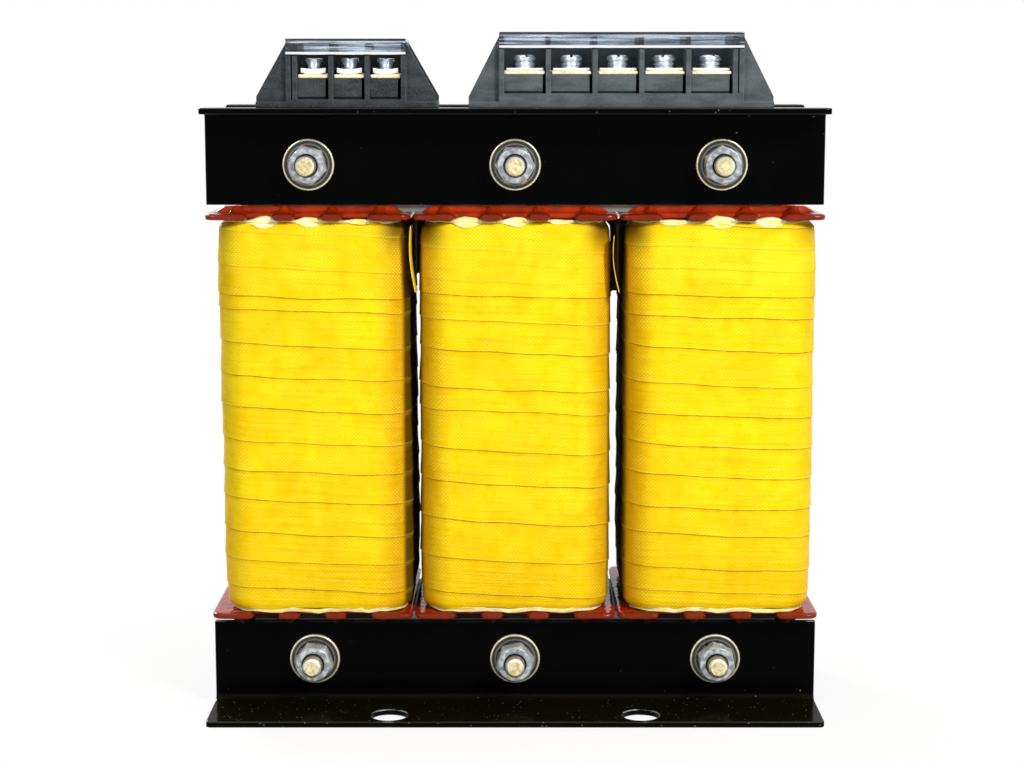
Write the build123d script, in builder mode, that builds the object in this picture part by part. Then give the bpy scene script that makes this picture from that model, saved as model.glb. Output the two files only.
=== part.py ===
"""Three-phase dry power transformer: laminated core, three taped coils on moulded
bobbins, folded steel clamps with through bolts, and two barrier terminal blocks.

Millimetres. X runs left to right, the front faces -Y, Z is up, and the floor is Z = 0.
"""

import os

from build123d import *

os.makedirs("parts", exist_ok=True)

# Core
leg_width = 60.0
stack_depth = 70.0
yoke_height = 46.0
window_height = 200.0
core_lift = 1.0
bolt_radius = 5.0
bolt_hole_clearance = 0.5

# Clamps
sheet = 3.0
bend_radius = 3.0
clamp_overhang = 20.0
foot_projection = 39.0
shelf_projection = 22.0
bottom_clamp_height = 43.0
top_clamp_height = 47.0
clamp_stand = 4.5
clamp_corner_radius = 2.5
foot_hole_radius = 9.0
foot_hole_spacing = 123.0
foot_hole_margin = 11.5

# Bobbins
frame_width = 99.2
frame_depth = 104.0
frame_thickness = 3.0
frame_corner_radius = 5.0
frame_gap = 0.8
frame_to_yoke = 0.2
leg_clearance = 0.6
former_wall = 2.4
tab_pitch = 23.0
tab_width = 9.5
tab_root = 2.7
notch_corner_radius = 1.2
collar_height = 3.4
collar_thickness = 3.0
collar_clearance = 0.3
collar_inset = 3.6
collar_slope = 5.0
gusset_foot = 7.0
gusset_tip = 2.4
gusset_margin = 0.5

# Coils
coil_gap = 7.0
coil_depth = 101.0
coil_corner_radius = 16.0
coil_end_radius = 5.0
paper_thickness = 0.8
paper_margin = 2.2

# Clamp bolts
washer_radius = 12.5
washer_thickness = 2.0
spring_washer_radius = 9.0
spring_washer_thickness = 2.5
spring_washer_gap = 1.6
nut_across_flats = 17.0
nut_height = 8.4
nut_crown_inset = 0.17
nut_chamfer_angle = 30.0
bolt_head_height = 6.4
bolt_reach = 20.0
bolt_chamfer = 1.4
thread_clearance = 0.1

# Terminal blocks: what the two sizes share
block_setback = 3.0
shank_radius = 2.5
shank_length = 7.0
shank_clearance = 0.3
shank_end_gap = 1.0
fixing_radius = 2.0
fixing_clearance = 0.25
fixing_head_radius = 3.8
fixing_head_height = 2.6
fixing_setback = 10.4
fixing_tail = 2.0
cover_rise = 6.2
cover_sheet = 1.6
cover_clearance = 0.3
cover_grip = 0.6
wall_thickness = 2.4
wall_step = 4.0
spare_wall = 3.0
wedge_width = 14.4
wedge_end_height = 2.4
wedge_rib = 3.0
block_foot_height = 3.0
plinth_setback = 1.6
plinth_gap = 1.4
groove_height = 1.0
groove_depth = 1.5
ridge_thickness = 4.0
ridge_drop = 4.4
ridge_slot_clearance = 0.2
screw_head_round = 1.6

# Values that follow from the ones above
phase_pitch = frame_width + frame_gap
core_length = 2 * phase_pitch + leg_width
clamp_length = core_length + 2 * clamp_overhang
bottom_yoke_top = core_lift + yoke_height
top_yoke_bottom = bottom_yoke_top + window_height
bottom_bolt_level = core_lift + yoke_height / 2
top_bolt_level = top_yoke_bottom + yoke_height / 2
clamp_top_level = top_yoke_bottom + yoke_height + clamp_stand
coil_width = phase_pitch - coil_gap
core_face = stack_depth / 2
web_face = core_face + sheet
bottom_seat = bottom_yoke_top + frame_to_yoke + frame_thickness
top_seat = top_yoke_bottom - frame_to_yoke - frame_thickness
window_x = leg_width + 2 * leg_clearance
window_y = stack_depth + 2 * leg_clearance
former_x = window_x + 2 * former_wall
former_y = window_y + 2 * former_wall
coil_bottom = bottom_seat + paper_thickness
coil_height = top_seat - bottom_seat - 2 * paper_thickness
bolt_hole_radius = bolt_radius + bolt_hole_clearance
phases = {"left": -phase_pitch, "centre": 0.0, "right": phase_pitch}


def save(shape, name):
    """Label a finished part and write it under its own name."""
    shape.label = name
    export_step(shape, f"parts/{name}.step")


# Core yokes, drilled from front to back for the clamp bolts
def yoke(bottom, name):
    with BuildPart() as bar:
        with BuildSketch(Plane.XY.offset(bottom)):
            Rectangle(core_length, stack_depth)
        extrude(amount=yoke_height)
        with BuildSketch(Plane.XZ):
            with Locations((0, bottom + yoke_height / 2)):
                with GridLocations(phase_pitch, 0, 3, 1):
                    Circle(bolt_hole_radius)
        extrude(amount=stack_depth, both=True, mode=Mode.SUBTRACT)
    save(bar.part, name)


yoke(core_lift, "core_bottom_yoke")
yoke(top_yoke_bottom, "core_top_yoke")

# Core legs, one through each coil
for side, x in phases.items():
    with BuildPart() as leg:
        with BuildSketch(Plane.XY.offset(bottom_yoke_top)):
            with Locations((x, 0)):
                Rectangle(leg_width, stack_depth)
        extrude(amount=window_height)
    save(leg.part, f"core_leg_{side}")


# Terminal blocks: what differs between the two, and where each stands on the top clamp
class Block:
    """A row of poles. Outer is -1 at the clamp's left end and +1 at its right end."""

    def __init__(self, outer, from_end, poles, pitch, depth, **sizes):
        self.poles = poles
        self.pitch = pitch
        self.depth = depth
        self.sizes = sizes
        self.x = outer * (clamp_length / 2 - from_end)
        half_row = poles * pitch / 2
        reach = {outer: half_row + wall_thickness / 2 + spare_wall}
        reach[-outer] = half_row + wall_thickness / 2
        self.left = self.x - reach[-1]
        self.right = self.x + reach[1]
        self.walls = [self.x + i * pitch - half_row for i in range(poles + 1)]
        self.walls.append(self.x + outer * (half_row + spare_wall))
        self.feet = [self.left - wedge_width / 2, self.right + wedge_width / 2]


three_way = Block(
    outer=-1,
    from_end=71.4,
    poles=3,
    pitch=17.15,
    depth=40.0,
    floor=4.0,
    plinth=14.0,
    plate_width=14.4,
    plate_thickness=1.8,
    washer_width=12.3,
    washer_thickness=2.4,
    head_radius=4.1,
    head_height=5.2,
    step=24.4,
)
five_way = Block(
    outer=1,
    from_end=101.2,
    poles=5,
    pitch=22.1,
    depth=46.0,
    floor=6.8,
    plinth=15.8,
    plate_width=19.0,
    plate_thickness=1.5,
    washer_width=15.0,
    washer_thickness=1.4,
    head_radius=5.5,
    head_height=6.4,
    step=27.5,
)
block_front = block_setback - web_face - shelf_projection
fixing_row = block_front + fixing_setback


# Clamps: folded angles, the web against the yoke and the flange turned outwards
def front_clamp(flange_level, up, height, projection, bolt_level):
    """Up is +1 where the web rises from the flange, and -1 where it hangs from it."""
    flange_edge = web_face + projection
    with BuildPart() as angle:
        with BuildSketch(Plane.YZ) as section:
            with BuildLine():
                Polyline(
                    (-core_face, flange_level),
                    (-flange_edge, flange_level),
                    (-flange_edge, flange_level + up * sheet),
                    (-web_face, flange_level + up * sheet),
                    (-web_face, flange_level + up * height),
                    (-core_face, flange_level + up * height),
                    close=True,
                )
            make_face()
            inside = Vector(-web_face, flange_level + up * sheet)
            outside = Vector(-core_face, flange_level)
            fillet(section.vertices().sort_by_distance(inside)[0], bend_radius)
            fillet(section.vertices().sort_by_distance(outside)[0], bend_radius + sheet)
        extrude(amount=clamp_length / 2, both=True)
        fillet(angle.edges().filter_by(Axis.Z).sort_by(Axis.Y)[:2], clamp_corner_radius)
        with BuildSketch(Plane.XZ.offset(core_face)):
            with Locations((0, bolt_level)):
                with GridLocations(phase_pitch, 0, 3, 1):
                    Circle(bolt_hole_radius)
        extrude(amount=sheet, mode=Mode.SUBTRACT)
    return angle.part


plain_bottom = front_clamp(
    0.0, 1, bottom_clamp_height, foot_projection, bottom_bolt_level
)
with BuildPart() as bottom_clamp:
    add(plain_bottom)
    with BuildSketch():
        with Locations((0, foot_hole_margin - web_face - foot_projection)):
            with GridLocations(foot_hole_spacing, 0, 2, 1):
                Circle(foot_hole_radius)
    extrude(amount=sheet, mode=Mode.SUBTRACT)
save(bottom_clamp.part, "clamp_bottom_front")
save(mirror(bottom_clamp.part, about=Plane.XZ), "clamp_bottom_back")

plain_top = front_clamp(
    clamp_top_level, -1, top_clamp_height, shelf_projection, top_bolt_level
)
save(mirror(plain_top, about=Plane.XZ), "clamp_top_back")
with BuildPart() as top_clamp:
    add(plain_top)
    with BuildSketch(Plane.XY.offset(clamp_top_level)):
        for block in (three_way, five_way):
            with Locations(*[(foot, fixing_row) for foot in block.feet]):
                Circle(fixing_radius + fixing_clearance)
    extrude(amount=-sheet, mode=Mode.SUBTRACT)
save(top_clamp.part, "clamp_top_front")


# Bobbin end frames: comb-tabbed plates with a collar and gussets towards the yoke
def make_end_frame():
    """Z = 0 lies on the coil side of the plate, and the yoke is above it."""
    seat = Plane.XY
    collar_base = frame_width - 2 * collar_inset
    collar_back = core_face + collar_clearance
    collar_front = collar_back + collar_thickness
    tab_end = frame_depth / 2
    tab_length = tab_end - collar_front - tab_root
    with BuildPart() as frame:
        with BuildSketch(seat):
            RectangleRounded(frame_width, frame_depth, frame_corner_radius)
            Rectangle(window_x, window_y, mode=Mode.SUBTRACT)
            with GridLocations(tab_pitch, frame_depth, 3, 2):
                RectangleRounded(
                    tab_pitch - tab_width,
                    2 * tab_length,
                    notch_corner_radius,
                    mode=Mode.SUBTRACT,
                )
        extrude(amount=frame_thickness)
        with BuildSketch(Plane(seat.origin, x_dir=seat.x_dir, z_dir=-seat.y_dir)):
            with BuildLine():
                Polyline(
                    (-collar_base / 2, frame_thickness),
                    (collar_base / 2, frame_thickness),
                    (collar_base / 2 - collar_slope, frame_thickness + collar_height),
                    (collar_slope - collar_base / 2, frame_thickness + collar_height),
                    close=True,
                )
            make_face()
        extrude(amount=collar_front, both=True)
        with BuildSketch(seat.offset(frame_thickness)):
            Rectangle(frame_width, 2 * collar_back)
        extrude(amount=collar_height, mode=Mode.SUBTRACT)
        for end in (-1, 1):
            foot_y = end * (collar_front + tab_end) / 2
            tip_y = end * (collar_back + collar_front) / 2
            foot_reach = (tab_end - collar_front) / 2 - gusset_margin
            with BuildSketch(seat.offset(frame_thickness)):
                with Locations((0, foot_y)):
                    with GridLocations(tab_pitch, 0, 4, 1):
                        Ellipse(gusset_foot / 2, foot_reach)
            with BuildSketch(seat.offset(frame_thickness + collar_height)):
                with Locations((0, tip_y)):
                    with GridLocations(tab_pitch, 0, 4, 1):
                        Circle(gusset_tip / 2)
            feet = frame.pending_faces[:4]
            tips = frame.pending_faces[4:]
            frame.pending_faces.clear()
            for foot, tip in zip(feet, tips):
                loft(sections=[foot, tip])
    return frame.part


# Winding formers: square tubes round the legs, between the two end frames
def former(x):
    with BuildPart() as tube:
        with BuildSketch(Plane.XY.offset(bottom_seat)):
            with Locations((x, 0)):
                Rectangle(former_x, former_y)
                Rectangle(window_x, window_y, mode=Mode.SUBTRACT)
        extrude(amount=top_seat - bottom_seat)
    return tube.part


# Coils: the wound and taped body of each phase
def coil(x):
    with BuildPart() as body:
        with BuildSketch(Plane.XY.offset(coil_bottom)):
            with Locations((x, 0)):
                RectangleRounded(coil_width, coil_depth, coil_corner_radius)
        extrude(amount=coil_height)
        rims = body.faces().filter_by(Axis.Z)
        fillet(rims.edges(), coil_end_radius)
        with BuildSketch(Plane.XY.offset(coil_bottom)):
            with Locations((x, 0)):
                Rectangle(former_x, former_y)
        extrude(amount=coil_height, mode=Mode.SUBTRACT)
    return body.part


end_frame = make_end_frame()
for side, x in phases.items():
    save(Pos(x, 0, top_seat) * end_frame, f"top_end_frame_{side}")
    save(Pos(x, 0, bottom_seat) * Rot(180, 0, 0) * end_frame, f"bottom_end_frame_{side}")
    save(former(x), f"winding_former_{side}")
    save(coil(x), f"coil_{side}")

# Insulation paper between each coil and its end frames
with BuildPart() as papers:
    for level in (bottom_seat, top_seat - paper_thickness):
        with BuildSketch(Plane.XY.offset(level)):
            with GridLocations(phase_pitch, 0, 3, 1):
                RectangleRounded(
                    coil_width + paper_margin,
                    coil_depth - paper_margin,
                    coil_corner_radius,
                )
                Rectangle(former_x, former_y, mode=Mode.SUBTRACT)
        extrude(amount=paper_thickness)
save(papers.part, "end_papers")


# Clamp bolts with their heads at the back, and the washers and nuts at the front
bolt_levels = {"bottom": bottom_bolt_level, "top": top_bolt_level}

for row, level in bolt_levels.items():
    with BuildPart() as bolts:
        head_seat = web_face + washer_thickness
        with BuildSketch(Plane.XZ.offset(-head_seat)):
            with Locations((0, level)):
                with GridLocations(phase_pitch, 0, 3, 1):
                    Circle(bolt_radius)
        extrude(amount=head_seat + web_face + bolt_reach)
        tips = bolts.faces().sort_by(Axis.Y)[:3]
        chamfer(tips.edges(), bolt_chamfer)
        with BuildSketch(Plane.XZ.offset(-head_seat)):
            with Locations((0, level)):
                with GridLocations(phase_pitch, 0, 3, 1):
                    RegularPolygon(nut_across_flats / 2, 6, major_radius=False)
        extrude(amount=-bolt_head_height)
    save(bolts.part, f"clamp_bolts_{row}")

bolt_axes = [(x, level) for level in bolt_levels.values() for x in phases.values()]

with BuildPart() as flat_washers:
    for start in (web_face, -web_face - washer_thickness):
        with BuildSketch(Plane.XZ.offset(start)):
            with Locations(*bolt_axes):
                Circle(washer_radius)
                Circle(bolt_hole_radius, mode=Mode.SUBTRACT)
        extrude(amount=washer_thickness)
save(flat_washers.part, "flat_washers")

spring_start = web_face + washer_thickness
with BuildPart() as spring_washers:
    with BuildSketch(Plane.XZ.offset(spring_start)):
        with Locations(*bolt_axes):
            Circle(spring_washer_radius)
            Circle(bolt_hole_radius, mode=Mode.SUBTRACT)
            with Locations((0, spring_washer_radius)):
                Rectangle(
                    spring_washer_gap, 2 * spring_washer_radius - bolt_radius,
                    mode=Mode.SUBTRACT,
                )
    extrude(amount=spring_washer_thickness)
save(spring_washers.part, "spring_washers")

nut_start = spring_start + spring_washer_thickness
with BuildPart() as nuts:
    with BuildSketch(Plane.XZ.offset(nut_start)):
        with Locations(*bolt_axes):
            RegularPolygon(nut_across_flats / 2, 6, major_radius=False)
            Circle(bolt_radius + thread_clearance, mode=Mode.SUBTRACT)
    extrude(amount=nut_height)
    crown = Plane.XZ.offset(nut_start + nut_height)
    crown_radius = nut_across_flats / 2 - nut_crown_inset
    with BuildSketch(crown):
        with Locations(*bolt_axes):
            Circle(crown_radius)
    extrude(amount=-nut_height, taper=-nut_chamfer_angle, mode=Mode.INTERSECT)
save(nuts.part, "clamp_nuts")


# Barrier terminal blocks: moulded bases, plates, screws with square washers, clear covers
def terminal_block(block, name):
    size = block.sizes
    shelf = Plane.XY.offset(clamp_top_level)
    back = block_front + block.depth
    middle = (block_front + back) / 2
    cell = block.pitch - wall_thickness
    poles = [block.x + (i - (block.poles - 1) / 2) * block.pitch for i in range(block.poles)]
    rows = (block_front + block.depth / 4, back - block.depth / 4)
    screws = [(x, y) for x in poles for y in rows]
    plate_level = size["plinth"]
    washer_level = plate_level + size["plate_thickness"]
    head_level = washer_level + size["washer_thickness"]
    step_level = size["step"]
    wall_top = step_level + cover_rise
    cover_top = wall_top + cover_clearance + cover_sheet
    shank_hole = shank_radius + shank_clearance

    with BuildPart() as base:
        with BuildSketch(shelf):
            with Locations(((block.left + block.right) / 2, middle)):
                Rectangle(block.right - block.left, block.depth)
        extrude(amount=size["floor"])
        with BuildSketch(shelf):
            with Locations(*[(x - plinth_gap / 2, middle) for x in poles]):
                Rectangle(cell - plinth_gap, block.depth - 2 * plinth_setback)
        extrude(amount=size["plinth"])
        groove_reach = block.depth / 2 - plinth_setback - groove_depth / 2
        with BuildSketch(shelf.offset(size["floor"])):
            for end in (-1, 1):
                places = [(x - plinth_gap / 2, middle + end * groove_reach) for x in poles]
                with Locations(*places):
                    Rectangle(cell - plinth_gap, groove_depth)
        extrude(amount=groove_height, mode=Mode.SUBTRACT)
        for wall in block.walls:
            with BuildSketch(Plane.YZ.offset(wall)):
                with BuildLine():
                    Polyline(
                        (block_front, clamp_top_level),
                        (block_front, clamp_top_level + step_level),
                        (block_front + wall_step, clamp_top_level + step_level),
                        (block_front + wall_step, clamp_top_level + wall_top),
                        (back - wall_step, clamp_top_level + wall_top),
                        (back - wall_step, clamp_top_level + step_level),
                        (back, clamp_top_level + step_level),
                        (back, clamp_top_level),
                        close=True,
                    )
                make_face()
            extrude(amount=wall_thickness / 2, both=True)
        with BuildSketch(shelf):
            with Locations(*[(foot, middle) for foot in block.feet]):
                Rectangle(wedge_width, block.depth)
        extrude(amount=block_foot_height)
        for inner, outward in ((block.left, -1), (block.right, 1)):
            for start in (block_front + wedge_rib, back - 2 * wedge_rib):
                with BuildSketch(Plane.XZ.offset(-start)):
                    with BuildLine():
                        Polyline(
                            (inner, clamp_top_level),
                            (inner + outward * wedge_width, clamp_top_level),
                            (
                                inner + outward * wedge_width,
                                clamp_top_level + wedge_end_height + block_foot_height,
                            ),
                            (inner, clamp_top_level + wall_top),
                            close=True,
                        )
                    make_face()
                extrude(amount=-wedge_rib)
        with BuildSketch(shelf):
            with Locations((block.x, middle)):
                Rectangle(block.poles * block.pitch, ridge_thickness)
        extrude(amount=wall_top - ridge_drop)
        with BuildSketch(shelf.offset(plate_level)):
            with Locations(*[(x, middle) for x in poles]):
                Rectangle(cell, ridge_thickness)
        extrude(amount=size["plate_thickness"] + ridge_slot_clearance, mode=Mode.SUBTRACT)
        with BuildSketch(shelf.offset(plate_level)):
            with Locations(*screws):
                Circle(shank_hole)
        extrude(amount=-shank_length, mode=Mode.SUBTRACT)
        with BuildSketch(shelf):
            with Locations(*[(foot, fixing_row) for foot in block.feet]):
                Circle(fixing_radius + fixing_clearance)
        extrude(amount=block_foot_height, mode=Mode.SUBTRACT)
    save(base.part, f"{name}_base")

    with BuildPart() as plates:
        with BuildSketch(shelf.offset(plate_level)):
            with Locations(*[(x, middle) for x in poles]):
                Rectangle(size["plate_width"], block.depth - 2 * plinth_setback)
            with Locations(*screws):
                Circle(shank_hole, mode=Mode.SUBTRACT)
        extrude(amount=size["plate_thickness"])
    save(plates.part, f"{name}_plates")

    with BuildPart() as washers:
        with BuildSketch(shelf.offset(washer_level)):
            with Locations(*screws):
                Rectangle(size["washer_width"], size["washer_width"])
                Circle(shank_hole, mode=Mode.SUBTRACT)
        extrude(amount=size["washer_thickness"])
    save(washers.part, f"{name}_washers")

    with BuildPart() as pins:
        with BuildSketch(shelf.offset(head_level)):
            with Locations(*screws):
                Circle(size["head_radius"])
        extrude(amount=size["head_height"])
        fillet(pins.faces().sort_by(Axis.Z)[-len(screws):].edges(), screw_head_round)
        with BuildSketch(shelf.offset(head_level)):
            with Locations(*screws):
                Circle(shank_radius)
        extrude(amount=plate_level - head_level - shank_length + shank_end_gap)
    save(pins.part, f"{name}_screws")

    with BuildPart() as cover:
        lip_level = clamp_top_level + step_level + cover_grip
        outer_top = clamp_top_level + cover_top
        front = block_front + cover_clearance
        rear = back - cover_clearance
        with BuildSketch(Plane.YZ.offset(block.left)):
            with BuildLine():
                Polyline(
                    (front, lip_level),
                    (front, outer_top),
                    (rear, outer_top),
                    (rear, lip_level),
                    (rear - cover_sheet, lip_level),
                    (rear - cover_sheet, outer_top - cover_sheet),
                    (front + cover_sheet, outer_top - cover_sheet),
                    (front + cover_sheet, lip_level),
                    close=True,
                )
            make_face()
        extrude(amount=block.right - block.left)
    save(cover.part, f"{name}_cover")


terminal_block(three_way, "three_way")
terminal_block(five_way, "five_way")

# Screws that hold the blocks' feet to the top front clamp
with BuildPart() as fixings:
    seat = Plane.XY.offset(clamp_top_level + block_foot_height)
    places = [(foot, fixing_row) for block in (three_way, five_way) for foot in block.feet]
    with BuildSketch(seat):
        with Locations(*places):
            Circle(fixing_head_radius)
    extrude(amount=fixing_head_height)
    with BuildSketch(seat):
        with Locations(*places):
            Circle(fixing_radius)
    extrude(amount=-block_foot_height - sheet - fixing_tail)
save(fixings.part, "terminal_fixing_screws")
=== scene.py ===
# %% [markdown]
# # A three-phase dry power transformer, dressed in Blender
#
# The CAD model gives every solid its size and place. This script loads it as a fixed
# frame and adds what CAD leaves out: tape that overlaps turn by turn, rounded edges,
# threads, and materials with their grain, dust and wear. Lengths are typed in
# millimetres, as a maker reads them off a drawing, and become metres through MM.

# %% Load the frame
import math
import random

import bmesh
import bpy
from mathutils import Matrix, Vector, noise


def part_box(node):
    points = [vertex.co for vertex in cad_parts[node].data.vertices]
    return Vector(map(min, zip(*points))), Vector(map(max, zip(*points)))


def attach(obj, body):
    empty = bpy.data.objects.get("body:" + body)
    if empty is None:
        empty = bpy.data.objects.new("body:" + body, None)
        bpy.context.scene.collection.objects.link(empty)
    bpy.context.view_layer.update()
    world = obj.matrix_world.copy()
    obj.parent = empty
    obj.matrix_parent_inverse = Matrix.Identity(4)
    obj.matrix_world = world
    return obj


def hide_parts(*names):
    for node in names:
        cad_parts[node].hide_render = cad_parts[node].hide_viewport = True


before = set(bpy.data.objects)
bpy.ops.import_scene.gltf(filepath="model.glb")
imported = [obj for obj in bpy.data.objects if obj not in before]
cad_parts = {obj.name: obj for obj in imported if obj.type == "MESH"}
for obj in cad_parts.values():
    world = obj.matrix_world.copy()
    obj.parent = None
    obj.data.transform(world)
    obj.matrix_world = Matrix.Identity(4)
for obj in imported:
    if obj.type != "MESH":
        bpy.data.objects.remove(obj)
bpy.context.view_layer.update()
MM = 0.001

# Coils and bolts stand side by side at one pitch, and the bolts in two rows.
coil_pitch = 100.0
bolt_rows = (24.0, 270.0)
print("nodes in the frame:", len(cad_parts))

# %% [markdown]
# ## The camera
#
# The photograph was taken from straight in front, a little above the top clamp, with a
# long lens: the foot shows its upper side and the top flange only its lip. A long lens
# from about a metre away keeps the three coils nearly the same width. The camera is
# given a place and a downward tilt, and no shift, so that it can be moved round the
# object later without a skewed picture.

# %% Camera
camera_place = Vector((-1.5, -1074.0, 315.5)) * MM
camera_tilt = 8.34
camera_lens = 74.92

lens = bpy.data.cameras.new("studio_camera")
lens.lens = camera_lens
lens.sensor_width = 36.0
lens.clip_end = 50.0
camera = bpy.data.objects.new("studio_camera", lens)
camera.location = camera_place
camera.rotation_euler = (math.radians(90 - camera_tilt), 0, 0)
bpy.context.scene.collection.objects.link(camera)
bpy.context.scene.camera = camera
print("camera looks down by", camera_tilt, "degrees")

# %% [markdown]
# ## Small tools for materials
#
# A procedural material is arithmetic on positions. Blender draws it as nodes, which is
# hard to read back from a script, so two small classes hide the wiring. `Signal` is one
# output of a node with + - * / on it, and `Finish` is a material with a method that
# adds any node. The recipes below then read like formulas.

# %% Signal: arithmetic on shader nodes
def operator(operation, swapped=False):
    """A method that puts a signal and what stands beside it into one Math node."""

    def apply(self, *others):
        values = (*others, self) if swapped else (self, *others)
        return self.finish.math(operation, *values)

    return apply


class Signal:
    """One output of a shader node."""

    def __init__(self, finish, socket):
        self.finish = finish
        self.socket = socket

    __add__ = __radd__ = operator("ADD")
    __mul__ = __rmul__ = operator("MULTIPLY")
    __sub__ = operator("SUBTRACT")
    __rsub__ = operator("SUBTRACT", swapped=True)
    __truediv__ = operator("DIVIDE")
    __rtruediv__ = operator("DIVIDE", swapped=True)
    __abs__ = operator("ABSOLUTE")


# %% Finish: a material and its nodes
class Finish:
    """A named material on the standard surface shader."""

    def __init__(self, name, **constants):
        self.material = bpy.data.materials.new(name)
        self.material.use_nodes = True
        self.tree = self.material.node_tree
        self.shader = self.tree.nodes["Principled BSDF"]
        for name, value in constants.items():
            self.feed(self.shader.inputs[name.replace("_", " ")], value)

    def feed(self, socket, value):
        if isinstance(value, Signal):
            self.tree.links.new(value.socket, socket)
        elif hasattr(value, "__len__") and len(socket.default_value) > len(value):
            socket.default_value = (*value, 1.0)
        else:
            socket.default_value = value

    def node(self, kind, settings=None, inputs=None, output=0):
        made = self.tree.nodes.new("ShaderNode" + kind)
        for name, value in (settings or {}).items():
            setattr(made, name, value)
        for name, value in (inputs or {}).items():
            self.feed(made.inputs[name], value)
        return Signal(self, made.outputs[output])

    def math(self, operation, *values):
        inputs = dict(enumerate(values))
        return self.node("Math", {"operation": operation}, inputs)

    def place(self):
        """Where a point lies on the object, in millimetres."""
        here = self.node("TexCoord", output="Object")
        scaled = {"operation": "SCALE"}
        return self.node("VectorMath", scaled, {0: here, "Scale": 1 / MM})

    def stretch(self, vector, factors):
        product = {"operation": "MULTIPLY"}
        return self.node("VectorMath", product, {0: vector, 1: factors})

    def moved(self, vector, offset):
        """The same point moved far away, so that a second noise is not like the first."""
        return self.node("VectorMath", {"operation": "ADD"}, {0: vector, 1: (offset,) * 3})

    def split(self, vector):
        parts = self.node("SeparateXYZ", None, {0: vector}).socket.node
        return [Signal(self, socket) for socket in parts.outputs]

    def length(self, across, up):
        """The long side of a right-angled triangle."""
        return self.math("SQRT", across * across + up * up)

    def from_coil(self, x):
        """How far a point lies beside the middle of its coil or column of bolts."""
        return self.math("MODULO", x + 4.5 * coil_pitch, coil_pitch) - coil_pitch / 2

    def from_bolt(self, x, z):
        """How far a point lies from the axis of the nearest clamp bolt."""
        low, high = (abs(z - row) for row in bolt_rows)
        return self.length(self.from_coil(x), self.math("MINIMUM", low, high))

    def join(self, x, y, z):
        return self.node("CombineXYZ", None, {0: x, 1: y, 2: z})

    def cloud(self, vector, size, detail=2.0):
        """Soft noise between 0 and 1 whose blobs are about size millimetres."""
        inputs = {"Vector": vector, "Scale": 1 / size, "Detail": detail}
        return self.node("TexNoise", None, inputs)

    def ramp(self, value, low, high, start=0.0, end=1.0):
        """Turns low to high into start to end, and holds outside that."""
        inputs = {0: value, 1: low, 2: high, 3: start, 4: end}
        return self.node("MapRange", {"interpolation_type": "SMOOTHSTEP"}, inputs)

    def blend(self, share, first, second):
        """A colour between two, by a share from 0 to 1."""
        inputs = {0: share, 6: first, 7: second}
        return self.node("Mix", {"data_type": "RGBA"}, inputs, output=2)

    def tint(self, body, colour, value, low, high, most=1.0):
        """Mixes a colour in where a value runs from low to high, up to a share."""
        return self.blend(self.ramp(value, low, high, 0.0, most), body, colour)

    def specks(self, vector, spacing, radius, share):
        """1 inside scattered round specks, of which a share of the cells has one."""
        cells = self.node("TexVoronoi", None, {"Vector": vector, "Scale": 1 / spacing})
        lot = self.split(Signal(self, cells.socket.node.outputs["Color"]))
        reach = radius / spacing * (0.4 + lot[1])
        inside = self.ramp(cells / reach, 0.6, 1.1, 1.0, 0.0)
        return inside * self.math("LESS_THAN", lot[0], share)

    def paint(self, **inputs):
        """Feeds the shader's varying sockets."""
        for name, value in inputs.items():
            self.feed(self.shader.inputs[name.replace("_", " ")], value)

    def emboss(self, height, depth):
        """Bumps the surface: height 1 stands depth millimetres above height 0."""
        inputs = {"Height": height, "Distance": depth * MM, "Strength": 1.0}
        self.feed(self.shader.inputs["Normal"], self.node("Bump", None, inputs))


print("material tools ready")

# %% [markdown]
# ## The studio
#
# A product photograph of this kind is lit by large soft lamps from the front and
# above, in front of white paper. The paper's white must not add light to the object,
# so the world is plain white only to the camera and to reflections, and dim to
# everything else. The floor works the same way: near the object it is a real matt
# floor, which keeps the shadow, and further out it turns into the white paper.

# %% World: white paper behind, dim light around
ambient_level = 0.1


def seen_rays(tree):
    """1 for rays from the camera, off a shine or through glass, and 0 for the rest."""
    rays = tree.nodes.new("ShaderNodeLightPath")
    seen = rays.outputs["Is Camera Ray"]
    for kind in ("Is Glossy Ray", "Is Transmission Ray"):
        either = tree.nodes.new("ShaderNodeMath")
        either.operation = "MAXIMUM"
        tree.links.new(seen, either.inputs[0])
        tree.links.new(rays.outputs[kind], either.inputs[1])
        seen = either.outputs[0]
    return seen


world = bpy.data.worlds.new("studio")
world.use_nodes = True
sky = world.node_tree
level = sky.nodes.new("ShaderNodeMapRange")
level.inputs["To Min"].default_value = ambient_level
background = sky.nodes["Background"]
background.inputs["Color"].default_value = (1.0, 1.0, 1.0, 1.0)
sky.links.new(seen_rays(sky), level.inputs["Value"])
sky.links.new(level.outputs["Result"], background.inputs["Strength"])
bpy.context.scene.world = world
bpy.context.scene.view_settings.view_transform = "Standard"
print("world level for the object:", ambient_level)

# %% Floor: matt near the object, white paper further out
floor_size = 12000.0
paper_starts = 120.0
paper_full = 300.0
paper_near = 0.84


def placed(name, bm):
    """A named object at the origin with a mesh."""
    mesh = bpy.data.meshes.new(name)
    bm.to_mesh(mesh)
    bm.free()
    obj = bpy.data.objects.new(name, mesh)
    bpy.context.scene.collection.objects.link(obj)
    return obj


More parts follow.
